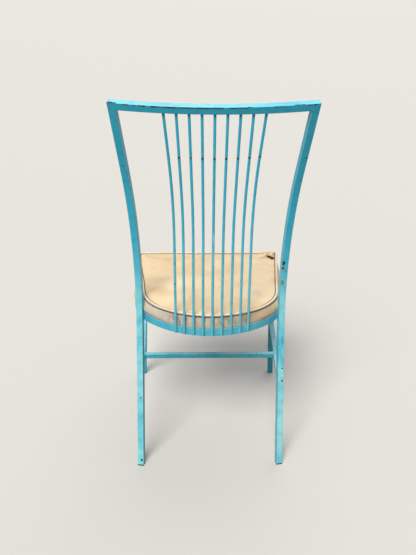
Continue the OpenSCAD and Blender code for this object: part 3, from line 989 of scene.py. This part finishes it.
@dataclass
class Seat:
    """The loose seat: a vinyl cover with a piped upper edge, over foam, on a plywood board."""

    vinyl: bpy.types.Material
    rubbed_highlit_vinyl: bpy.types.Material
    foam: bpy.types.Material
    thread: bpy.types.Material
    staple: bpy.types.Material
    sizes: SeatSizes = SEAT_SIZES
    wall_rows: int = 15
    vinyl_t: float = 1.1
    pipe_r: float = 3.1
    seam_r: float = 0.8
    # How far in from the piping, and how far up the wall, the sewn lines run
    seam_inset: float = 4.6
    seam_share: float = 0.90
    # The foam stands this far inside the cover, and has sunk this deep under the tear
    foam_in: float = 3.4
    pit: float = 20.0
    # The wall leaves the ring upright up to this share of its height, and bulges by so much
    upright: float = 0.27
    belly: float = 3.0
    # Its upright folds, slack creases and pinches between the spindles: sizes and depths
    fold_mm: float = 13.0
    slack_mm: float = 34.0
    slack_h: float = 2.0
    pinch_mm: float = 10.0
    pinch_h: float = 4.6
    # The panel's crown and the groove beside its piping: how far in they reach, and its depth
    crown_in: float = 26.0
    groove_in: float = 2.6
    groove: float = 1.6
    # The hollow in the middle, and the puckers at the seam
    hollow_r: float = 95.0
    hollow: float = 2.6
    pucker_mm: float = 9.0
    pucker_in: float = 11.0
    # Drag lines from the torn corner: how many, how high, and how far they reach
    drag_lines: int = 11
    drag_h: float = 2.6
    drag_in: float = 30.0
    # How far the slackened front left corner has moved
    shift: float = 5.5
    # The hem's outer and inner edges and its line of staples, in from the ring's outer edge
    hem_out: float = 6.5
    hem_in: float = 24.0
    staple_in: float = 17.0
    # A staple stands at every so many points of the outline; its half length and thickness
    staple_every: int = 8
    staple_half: float = 5.0
    staple_r: float = 0.5
    # The torn corner: the slit's middle, its half length and half width, and the bunched lump
    slit_at: tuple[float, float] = (-181.0, -150.0)
    slit_long: float = 10.5
    slit_wide: float = 3.6
    slit_turn: float = -0.42
    slit_curl: float = 0.75
    slit_lean: float = 0.25
    lump_at: tuple[float, float] = (-186.0, -168.0)
    lump_size: float = 17.0
    lump_h: float = 9.5
    hole_at: tuple[float, float] = (-190.5, -162.0)
    hole_r: float = 1.9

    def __post_init__(self) -> None:
        """Works out the heights and outlines from the chair's own boxes."""
        low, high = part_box("seat_ring")
        self.top_z = high.z / MM
        self.half_w = (high.x - low.x) / 2 / MM
        self.back_y = high.y / MM
        self.front_y = low.y / MM
        self.welt_z = self.top_z + self.sizes.wall_h
        self.middle = Vector((0, (self.back_y + self.front_y) / 2, 0))
        metal = [f"seat_tab_{end}_{side}" for end in ("front", "back") for side in SIDES]
        metal += [f"front_leg_{side}" for side in SIDES]
        self.metal = [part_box(name) for name in metal]

    def outline(
        self,
        back_r: float,
        half_w: float,
        corner_r: float,
        front: Vector,
        front_r: float,
        inset: float,
    ) -> Outline:
        """Works out a seat outline.

        Args:
            back_r: the back arc's radius.
            half_w: half its width.
            corner_r: the rear corners' radius.
            front: the middle of the front corner's arc.
            front_r: that arc's radius, already drawn in.
            inset: how far the back and the sides are drawn in.

        Returns:
            The outline.
        """
        centre = Vector((0, self.back_y - self.sizes.back_r, 0))
        across = half_w - corner_r
        rise = math.sqrt((back_r - corner_r) ** 2 - across**2)
        corner = centre + Vector((across, rise, 0))
        return Outline(centre, back_r - inset, corner, corner_r - inset, front, front_r)

    def foot_loop(self, inset: float) -> list[Vector]:
        """The seat's outline at the ring, drawn in by a distance."""
        s = self.sizes
        front = Vector((self.half_w - s.front_r, self.front_y + s.front_r, 0))
        front_r = max(1.5, s.front_r - inset)
        front += Vector((s.front_r - inset - front_r, inset + front_r - s.front_r, 0))
        return self.outline(s.back_r, self.half_w, s.corner_r, front, front_r, inset).loop()

    def welt_loop(self, inset: float) -> list[Vector]:
        """The seat's outline at the piping, drawn in by a distance."""
        s = self.sizes
        front_x = self.half_w - s.front_taper - s.welt_front_r
        front = Vector((front_x, self.front_y - s.overhang + s.welt_front_r, 0))
        front_r = s.welt_front_r - inset
        half_w = self.half_w - s.side_taper
        back_r = s.back_r - s.back_taper
        return self.outline(back_r, half_w, s.welt_corner_r, front, front_r, inset).loop()

    def under_metal(self, place: Vector, margin: float) -> bool:
        """Whether a point lies, in plan, within a margin of a tab or a front leg."""
        return any(
            low.x / MM - margin < place.x < high.x / MM + margin
            and low.y / MM - margin < place.y < high.y / MM + margin
            for low, high in self.metal
        )

    def near_spindles(self, spot: Vector) -> float:
        """How much a point lies in the part of the back wall that the spindles touch."""
        return ease((spot.y - self.back_y + 60) / 30) * ease((125 - abs(spot.x)) / 25)

    def flare(self, share: float) -> float:
        """How far in towards the piping the wall has come at a share of its height."""
        return max(0.0, (share - self.upright) / (1 - self.upright)) ** 1.15

    def wall_point(self, foot: Vector, welt: Vector, share: float) -> Vector:
        """A point of the side wall.

        Args:
            foot: the outline's point at the ring.
            welt: the matching point at the piping.
            share: how far up the wall it is, from 0 to 1.

        Returns:
            The point, with the wall's bulge and creases.
        """
        inward = self.flare(share)
        spot = foot.lerp(welt, inward)
        spot.z = self.top_z + 0.4 + (self.welt_z - self.top_z - 1.2) * share
        out = spot - self.middle
        out.z = 0
        out.normalize()
        tight = self.near_spindles(spot)
        belly = math.sin(math.pi * min(1, share * 1.05)) * (1 - tight)
        # Upright folds where the vinyl is pulled over the edge, and long slack creases
        tall = Vector((spot.x * 1.5, spot.y * 1.5, spot.z * 0.35))
        folds = nudge(tall, self.fold_mm, 5) * (1.9 + 0.9 * tight)
        slack = nudge(spot, self.slack_mm, 9) * self.slack_h
        middle = math.sin(math.pi * share)
        # The spindles pinch it, and keep it from bulging past them
        narrow = nudge(Vector((spot.x, 0, spot.z * 0.25)), self.pinch_mm, 17)
        pinch = -self.pinch_h * tight * middle * abs(narrow)
        move = self.belly * belly + (folds + slack) * middle * (1 - 0.4 * tight) + pinch
        if tight > 0.05:
            move = min(move, 0.35)
        return spot + out * move

    def top_height(self, spot: Vector, rim: float) -> float:
        """How high the top panel stands over the piping's middle.

        Args:
            spot: the point in plan.
            rim: its distance in from the piping, in millimetres.

        Returns:
            The height in millimetres.
        """
        # A crown, less the groove beside the piping
        rise = self.sizes.crown * (1 - math.exp(-rim / self.crown_in))
        rise -= self.groove * math.exp(-((rim / self.groove_in) ** 2))
        # A shallow hollow in the middle, slow unevenness, and puckers at the seam
        far = (spot - self.middle).length
        dip = -self.hollow * math.exp(-((far / self.hollow_r) ** 2))
        clouds = nudge(spot, 75, 1) * 1.5 + nudge(spot, 28, 2) * 0.5
        pull = nudge(spot, self.pucker_mm, 4) * math.exp(-rim / self.pucker_in)
        # Drag lines run from the torn corner into the panel
        away = spot - Vector((*self.lump_at, 0))
        reach = away.length
        heading = math.atan2(away.y, away.x)
        drag = self.drag_h * math.sin(heading * self.drag_lines + 0.6)
        drag = drag * math.exp(-reach / self.drag_in) * ease((reach - 8) / 12)
        along, across = self.slit_place(spot)
        # The vinyl in front of the tear has sprung up; behind it, it has stayed on the foam
        lump = self.lump_h * math.exp(-((reach / self.lump_size) ** 2)) * ease((0.6 - across) / 1.2)
        lump *= 1 + 0.30 * nudge(spot, 7, 8)
        lip = -2.0 * math.exp(-(((across - 1.2) / 0.9) ** 2)) * math.exp(-(along**2) * 1.2)
        loose = min(1.0, rim / 9)
        return rise + (dip + clouds) * loose + pull + drag * loose + lump + lip

    def slit_place(self, spot: Vector) -> tuple[float, float]:
        """Where a point lies in the tear, as shares of its half length and half width."""
        away = spot - Vector((*self.slit_at, 0))
        cos, sin = math.cos(self.slit_turn), math.sin(self.slit_turn)
        along = (away.x * cos + away.y * sin) / self.slit_long
        across = (-away.x * sin + away.y * cos) / self.slit_breadth(along)
        # It is a crescent: its ends curl round the lump
        return along, across + self.slit_curl * along**2 - self.slit_lean

    def slit_breadth(self, along: float) -> float:
        """The tear's half width, which narrows towards its inner end."""
        return self.slit_wide * (1 - 0.45 * min(1.0, max(-1.0, along)))

    def clear_slit(self, spot: Vector) -> Vector:
        """Moves a point that lies near the tear's rim onto it, so that the rim is clean.

        Args:
            spot: the point.

        Returns:
            The point, moved in plan only.
        """
        along, across = self.slit_place(Vector((spot.x, spot.y, 0)))
        reach = math.hypot(along, across)
        if not 0.62 < reach < 1.45:
            return spot
        along, across = along / reach, across / reach
        flat = (across - self.slit_curl * along**2 + self.slit_lean) * self.slit_breadth(along)
        cos, sin = math.cos(self.slit_turn), math.sin(self.slit_turn)
        out = along * self.slit_long
        x, y = self.slit_at
        return Vector((x + out * cos - flat * sin, y + out * sin + flat * cos, spot.z))

    def skew(self, spot: Vector) -> Vector:
        """The seat sits a little to the left at the front, where its cover has slackened."""
        share = ease((spot.x - 90) / 100) * ease((30 - spot.y) / 150)
        share *= ease((spot.z - self.top_z) / 25)
        return spot + Vector((self.shift * share, 0, 0))

    def cover(self) -> bpy.types.Object:
        """Makes the cover: its side wall and top panel in one skin, open along the tear."""
        feet, welts = self.foot_loop(self.sizes.edge), self.welt_loop(0.0)
        count = len(feet)
        points: list[Vector] = []
        dirt_and_shade: list[float] = []
        for row in range(self.wall_rows + 1):
            share = row / self.wall_rows
            for foot, welt in zip(feet, welts):
                spot = self.wall_point(foot, welt, share)
                points.append(spot)
                # The wall is darker at its foot, under the piping and in the folds beside the
                # spindles: painted shade, with some dirt
                low = max(0.0, 1 - share * 5)
                high = max(0.0, (share - 0.84) / 0.16)
                painted_fold_shade = max(0.0, nudge(Vector((spot.x, 0, spot.z * 0.2)), 7, 17) * 2.2)
                back = self.near_spindles(spot) * (0.06 + 0.75 * painted_fold_shade * math.sin(math.pi * share))
                dirt_and_shade.append(0.10 + 0.35 * low + 0.75 * high + back)
        # Rings across the panel: close together near the tear, then wider, then shrinking
        insets = [1.5, *range(3, 36, 2), 37.5, 41.0, 46.0, 56.0]
        shrinks = [0.97, 0.90, 0.82, 0.73, 0.63, 0.52, 0.40, 0.28, 0.16, 0.06]
        inner = self.inset_loop(welts, insets[-1])
        rows = [(self.inset_loop(welts, inset), inset) for inset in insets]
        for shrink in shrinks:
            loop = [self.middle + (p - self.middle) * shrink for p in inner]
            rows.append((loop, insets[-1] + (1 - shrink) * 130))
        hole = Vector((*self.hole_at, 0))
        for loop, rim in rows:
            for spot in map(self.clear_slit, loop):
                flat = Vector((spot.x, spot.y, 0))
                height = self.welt_z + self.top_height(flat, rim)
                points.append(Vector((spot.x, spot.y, height)))
                along, across = self.slit_place(flat)
                # The panel is darker in the groove beside the piping and round the tear and the
                # hole: painted shade, with some dirt; the rubbed patches are dirt
                torn = math.exp(-((along / 1.2) ** 2) - ((across / 1.5) ** 2))
                torn += math.exp(-(((flat - hole).length / self.hole_r / 1.6) ** 2))
                rubbed = 0.10 + 0.10 * max(0.0, nudge(flat, 60, 6))
                dirt_and_shade.append(rubbed + 0.75 * math.exp(-rim / 3.4) + 0.75 * torn)
        total = self.wall_rows + 1 + len(rows)
        faces: list[Face] = []
        for corners in Skin.between(0, total, count, False, True):
            middle = sum((points[c] for c in corners), Vector()) / 4
            along, across = self.slit_place(middle)
            middle.z = 0
            gone = along**2 + across**2 < 0.95 or (middle - hole).length < self.hole_r
            if corners[0] < (self.wall_rows + 1) * count or not gone:
                faces.append(corners)
        last, centre = (total - 1) * count, len(points)
        points.append(self.middle + UP * (self.welt_z + self.top_height(self.middle, 180)))
        dirt_and_shade.append(0.12)
        faces += [(last + i, centre, last + (i + 1) % count) for i in range(count)]
        piece = self.finished("seat_cover_vinyl", Skin(points, faces), self.vinyl)
        self.dirt_and_shade(piece, dirt_and_shade)
        skin = piece.modifiers.new("thickness", "SOLIDIFY")
        skin.thickness = self.vinyl_t * MM
        skin.offset = -1
        settle(piece)
        return piece

    def finished(self, name: str, skin: Skin, finish: bpy.types.Material) -> bpy.types.Object:
        """Makes a piece of the seat, moved with the slack corner."""
        return Skin([self.skew(p) for p in skin.points], skin.faces).piece(name, finish)

    def inset_loop(self, loop: Sequence[Vector], inset: float) -> list[Vector]:
        """A loop drawn in along its own normals, and towards the middle where they would cross."""
        count = len(loop)
        moved: list[Vector] = []
        for i, here in enumerate(loop):
            chord = loop[(i + 1) % count] - loop[(i - 1) % count]
            inward = Vector((chord.y, -chord.x, 0)).normalized()
            centre_way = (self.middle - here).normalized()
            share = min(1.0, inset / 60)
            way = inward.lerp(centre_way, share)
            moved.append(here + way * (inset / max(0.5, way.dot(inward))))
        return moved

    @staticmethod
    def dirt_and_shade(piece: bpy.types.Object, values: Sequence[float]) -> None:
        """Stores how dark each corner of a piece is made, by dirt and by painted shade."""
        layer = piece.data.attributes.new("dirt_and_shade", "FLOAT", "POINT")
        layer.data.foreach_set("value", [min(1.0, max(0.0, v)) for v in values])

    def piping(self) -> bpy.types.Object:
        """Makes the welt: vinyl wrapped round a cord and sewn into the upper seam."""
        path = []
        for spot in self.welt_loop(-0.3):
            lift = 1.4 + 0.35 * nudge(spot, 22, 12)
            lump = math.exp(-(((spot - Vector((*self.lump_at, 0))).length / 24) ** 2))
            path.append(spot + UP * (self.welt_z + lift + 9.0 * lump))

        def thickness(i: int) -> float:
            return self.pipe_r * (1 + 0.10 * nudge(path[i], 9, 13))

        skin = Skin()
        skin.sweep(path, thickness, 10, True)
        piece = self.finished("seat_piping", skin, self.rubbed_highlit_vinyl)
        # The piping is darker on its underside: painted shade
        values = [0.16 + 0.55 * max(0.0, (self.welt_z + 0.6 - p.z) / 3) for p in skin.points]
        self.dirt_and_shade(piece, values)
        return piece

    def seams(self) -> bpy.types.Object:
        """Makes the sewn lines above and below the piping, dark with dirt and with painted shade of
        the grooves there.
        """
        skin = Skin()
        feet, welts = self.foot_loop(self.sizes.edge), self.welt_loop(0.0)
        below = []
        for foot, welt in zip(feet, welts):
            spot = self.wall_point(foot, welt, self.seam_share)
            out = (spot - self.middle).normalized()
            below.append(spot + Vector((out.x, out.y, 0)) * (0.15 + 0.25 * nudge(spot, 30, 14)))
        above = []
        for flat in self.inset_loop(welts, self.seam_inset):
            height = self.welt_z + self.top_height(flat, self.seam_inset) + 0.25
            above.append(Vector((flat.x, flat.y, height)))
        for line, seed in ((below, 15), (above, 16)):
            skin.sweep(line, lambda i: self.seam_r + 0.45 * nudge(line[i], 40, seed), 6, True)
        return self.finished("seat_seam", skin, self.thread)

    def pad(self) -> bpy.types.Object:
        """Makes the foam: a crowned slab, crumbled at its edges and torn open under the slit."""
        feet = self.foot_loop(self.sizes.edge + 3.2)[::2]
        welts = self.welt_loop(self.foam_in)[::2]
        count = len(feet)
        floor_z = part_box("foam_pad")[0].z / MM
        points: list[Vector] = []
        for share in (0.0, 0.25, 0.5, 0.75, 0.93, 1.0):
            for foot, welt in zip(feet, welts):
                spot = foot.lerp(welt, self.flare(self.upright + share * (1 - self.upright)))
                spot.z = floor_z + 0.3 + (self.welt_z - 2.6 - floor_z) * share
                rough = nudge(spot, 5, 21) * 0.5 - 0.6
                points.append(spot + (self.middle - spot).normalized() * -rough)
        for shrink in (0.97, 0.94, 0.91, 0.88, 0.85, 0.82, 0.79, 0.75, 0.6, 0.4, 0.2, 0.05):
            for welt in welts:
                spot = self.middle + (welt - self.middle) * shrink
                along, across = self.slit_place(spot)
                pit = self.pit * math.exp(-(along**2 + (across * 0.7) ** 2) * 0.7)
                height = self.top_height(spot, (1 - shrink) * 180) - self.foam_in
                height += nudge(spot, 6, 22) * 0.7 - pit
                points.append(Vector((spot.x, spot.y, self.welt_z + height)))
        rows = len(points) // count
        faces = Skin.between(0, rows, count, False, True)
        faces.append(tuple(range(count)))
        faces.append(tuple((rows - 1) * count + i for i in reversed(range(count))))
        return self.finished("seat_foam", Skin(points, faces), self.foam)

    def staples(self) -> bpy.types.Object:
        """Makes the staples that hold the cover's turned-in hem to the board, inside the ring."""
        skin = Skin()
        line = self.foot_loop(self.staple_in)
        dice = random.Random(5)
        for i in range(3, len(line), self.staple_every):
            spot = line[i]
            if self.under_metal(spot, 9):
                continue
            along = (line[(i + 1) % len(line)] - line[i - 1]).normalized()
            along.rotate(Matrix.Rotation(dice.uniform(-0.35, 0.35), 3, "Z"))
            low = Vector((spot.x, spot.y, self.top_z - 1.6))
            legs, half = UP * 1.8, along * self.staple_half
            path = [low - half + legs, low - half, low + half, low + half + legs]
            skin.sweep(path, lambda k: self.staple_r, 6, False)
        return skin.piece("seat_staples", self.staple)

    def hem(self) -> bpy.types.Object:
        """Makes the cover's turned-in hem: a strip of vinyl under the board, inside the ring."""
        outer, inner = self.foot_loop(self.hem_out), self.foot_loop(self.hem_in)
        shares = (0.0, 0.33, 0.66, 1.0)
        points: list[Vector] = []
        for share in shares:
            for a, b in zip(outer, inner):
                ragged = 0.12 * nudge(a, 16, 31) if share == 1 else 0.0
                spot = a.lerp(b, share + ragged)
                spot.z = self.top_z - 0.9 + 0.35 * nudge(spot, 9, 32)
                points.append(spot)
        strips = Skin.between(0, len(shares), len(outer), False, False)
        faces = [corners for corners in strips if not self.under_metal(points[corners[0]], 2)]
        piece = Skin(points, faces).piece("seat_hem", self.vinyl)
        self.dirt_and_shade(piece, [0.5] * len(points))
        return piece

    def build(self) -> None:
        """Makes and dresses every piece of the seat."""
        cover = hand_over(self.cover(), ["seat_cover"])
        hand_over(self.pad(), ["foam_pad"])
        hand_over(self.piping())
        hand_over(self.seams())
        hand_over(self.hem())
        hand_over(self.staples())


def settle(piece: bpy.types.Object) -> None:
    """Applies a piece's modifiers to its mesh."""
    bpy.context.view_layer.update()
    graph = bpy.context.evaluated_depsgraph_get()
    mesh = bpy.data.meshes.new_from_object(piece.evaluated_get(graph))
    piece.modifiers.clear()
    piece.data = mesh


# ---- Studio ----


@dataclass(frozen=True)
class Studio:
    """A pale floor, a soft overhead light and the camera."""

    floor_tone: str = "cfccc6"
    floor_bounce: str = "6b645a"
    wall_tone: float = 0.66
    # The camera stands behind the chair, a little to its left, and looks down on it
    eye: tuple[float, float, float] = (0.04199, 1.44611, 1.22144)
    yaw: float = 1.44
    pitch: float = 27.54
    roll: float = -0.54
    lens: float = 39.13
    # Half the floor's width, in metres
    reach: float = 60.0
    # Each lamp's name, azimuth, elevation, spread, strength and tone
    lamps: tuple[tuple[str, float, float, float, float, str], ...] = (
        ("overhead", -24, 52, 30, 2.95, "fffdf8"),
        ("far_side", 165, 45, 60, 0.9, "f6f9ff"),
    )

    def camera(self) -> None:
        """Sets the camera up."""
        data = bpy.data.cameras.new("camera")
        data.lens = self.lens
        made = bpy.data.objects.new("camera", data)
        bpy.context.scene.collection.objects.link(made)
        yaw, pitch, roll = (math.radians(a) for a in (self.yaw, self.pitch, self.roll))
        flat = math.cos(pitch)
        forward = Vector((-math.sin(yaw) * flat, -math.cos(yaw) * flat, -math.sin(pitch)))
        right = Vector((-math.cos(yaw), math.sin(yaw), 0))
        down = forward.cross(right)
        level = right * math.cos(roll) + down * math.sin(roll)
        drop = down * math.cos(roll) - right * math.sin(roll)
        turn = Matrix((level, -drop, -forward)).transposed().to_4x4()
        made.matrix_world = Matrix.Translation(self.eye) @ turn
        bpy.context.scene.camera = made

    def lamp(
        self, name: str, azimuth: float, elevation: float, spread: float, strength: float, tone: str
    ) -> None:
        """Adds a distant soft light.

        Args:
            name: the lamp's name.
            azimuth: where it stands, in degrees from the back of the chair towards its right.
            elevation: how high it stands, in degrees.
            spread: the angle that it fills, in degrees.
            strength: its strength.
            tone: its colour.
        """
        data = bpy.data.lights.new(name, "SUN")
        data.angle = math.radians(spread)
        data.energy = strength
        data.color = linear(tone)[:3]
        made = bpy.data.objects.new(name, data)
        turn, rise = math.radians(azimuth), math.radians(elevation)
        flat = math.cos(rise)
        way = Vector((-math.sin(turn) * flat, math.cos(turn) * flat, math.sin(rise)))
        made.rotation_euler = way.to_track_quat("Z", "Y").to_euler()
        bpy.context.scene.collection.objects.link(made)

    def seen(self, tree: bpy.types.NodeTree) -> bpy.types.NodeSocket:
        """Tells where the background is seen, directly, mirrored or through something.

        Args:
            tree: the node tree to add to.

        Returns:
            The socket that gives 1 there, and 0 where the background only throws light.
        """
        ray = add_node(tree, "ShaderNodeLightPath").outputs
        direct = {0: ray["Is Camera Ray"], 1: ray["Is Glossy Ray"]}
        seen = add_node(tree, "ShaderNodeMath", {"operation": "MAXIMUM"}, direct).outputs[0]
        through = {0: seen, 1: ray["Is Transmission Ray"]}
        return add_node(tree, "ShaderNodeMath", {"operation": "MAXIMUM"}, through).outputs[0]

    def floor(self) -> None:
        """Lays the floor."""
        mesh = bpy.data.meshes.new("studio_floor")
        signs = ((-1, -1), (1, -1), (1, 1), (-1, 1))
        corners = [(x * self.reach, y * self.reach, 0) for x, y in signs]
        mesh.from_pydata(corners, [], [(0, 1, 2, 3)])
        made = bpy.data.objects.new("studio_floor", mesh)
        bpy.context.scene.collection.objects.link(made)
        # Sealed concrete: pale and matt to look at, and darker in the light that it throws back
        material, tree, shader = blank_material("concrete floor, sealed, matt")
        tone = coat(tree, linear(self.floor_bounce), linear(self.floor_tone), self.seen(tree))
        tree.links.new(tone, shader.inputs["Base Color"])
        shader.inputs["Roughness"].default_value = 0.9
        made.data.materials.append(material)

    def build(self) -> None:
        """Sets up everything that isn't the chair."""
        scene = bpy.context.scene
        scene.view_settings.view_transform = "Standard"
        world = bpy.data.worlds.new("studio")
        world.use_nodes = True
        # The room's light comes from its ceiling: strong overhead and weak at the horizon
        tree = world.node_tree
        sky = add_node(tree, "ShaderNodeTexCoord").outputs["Generated"]
        up = add_node(tree, "ShaderNodeSeparateXYZ", links={0: sky}).outputs["Z"]
        settings = {"From Min": 0.0, "From Max": 0.9, "To Min": 0.05, "To Max": 0.5}
        glow = add_node(tree, "ShaderNodeMapRange", settings, {"Value": up}).outputs["Result"]
        # What is seen behind the chair, or mirrored in it, is an even pale wall
        settings = {"operation": "MULTIPLY_ADD", 1: self.wall_tone}
        links = {0: self.seen(tree), 2: glow}
        glow = add_node(tree, "ShaderNodeMath", settings, links).outputs[0]
        back = tree.nodes["Background"]
        back.inputs[0].default_value = linear("f1f3f5")
        tree.links.new(glow, back.inputs[1])
        scene.world = world
        self.floor()
        for lamp in self.lamps:
            self.lamp(*lamp)
        self.camera()


def dress_frame(enamel: bpy.types.Material) -> None:
    """Gives the metal, plastic and wooden solids their finishes.

    Args:
        enamel: the frame's paint.
    """
    others = {"glide": GLIDE.make(), "seat_board": PLYWOOD.make(), "seat_screws": ZINC.make()}
    for name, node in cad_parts.items():
        finish = next((m for start, m in others.items() if name.startswith(start)), enamel)
        node.data.materials.clear()
        node.data.materials.append(finish)
        LOG.info("%s: %s", name, finish.name)


def main() -> None:
    """Builds the chair's looks and the studio round it."""
    logging.basicConfig(level=logging.INFO, format="%(name)s %(message)s")
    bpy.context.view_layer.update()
    enamel = BrushedEnamel().make()
    dress_frame(enamel)
    vinyl = CreamVinyl().make()
    # The piping stands proud, so hands and clothes have rubbed it cleaner than the panels; its
    # paler tone is also a painted highlight along the ridge
    rubbed = CreamVinyl(
        "PVC piping, extruded cord, rubbed clean, painted highlight", clean="f3e0c4", yellowed="e6cda4", stains=()
    ).make()
    Seat(vinyl, rubbed, FOAM.make(), THREAD_WITH_GROOVE_SHADE.make(), STAPLE.make()).build()
    Welds(enamel).build()
    PaintLoss({wear: Corrosion(wear).make() for wear in Wear}).build()
    Studio().build()


if __name__ == "__main__":
    main()
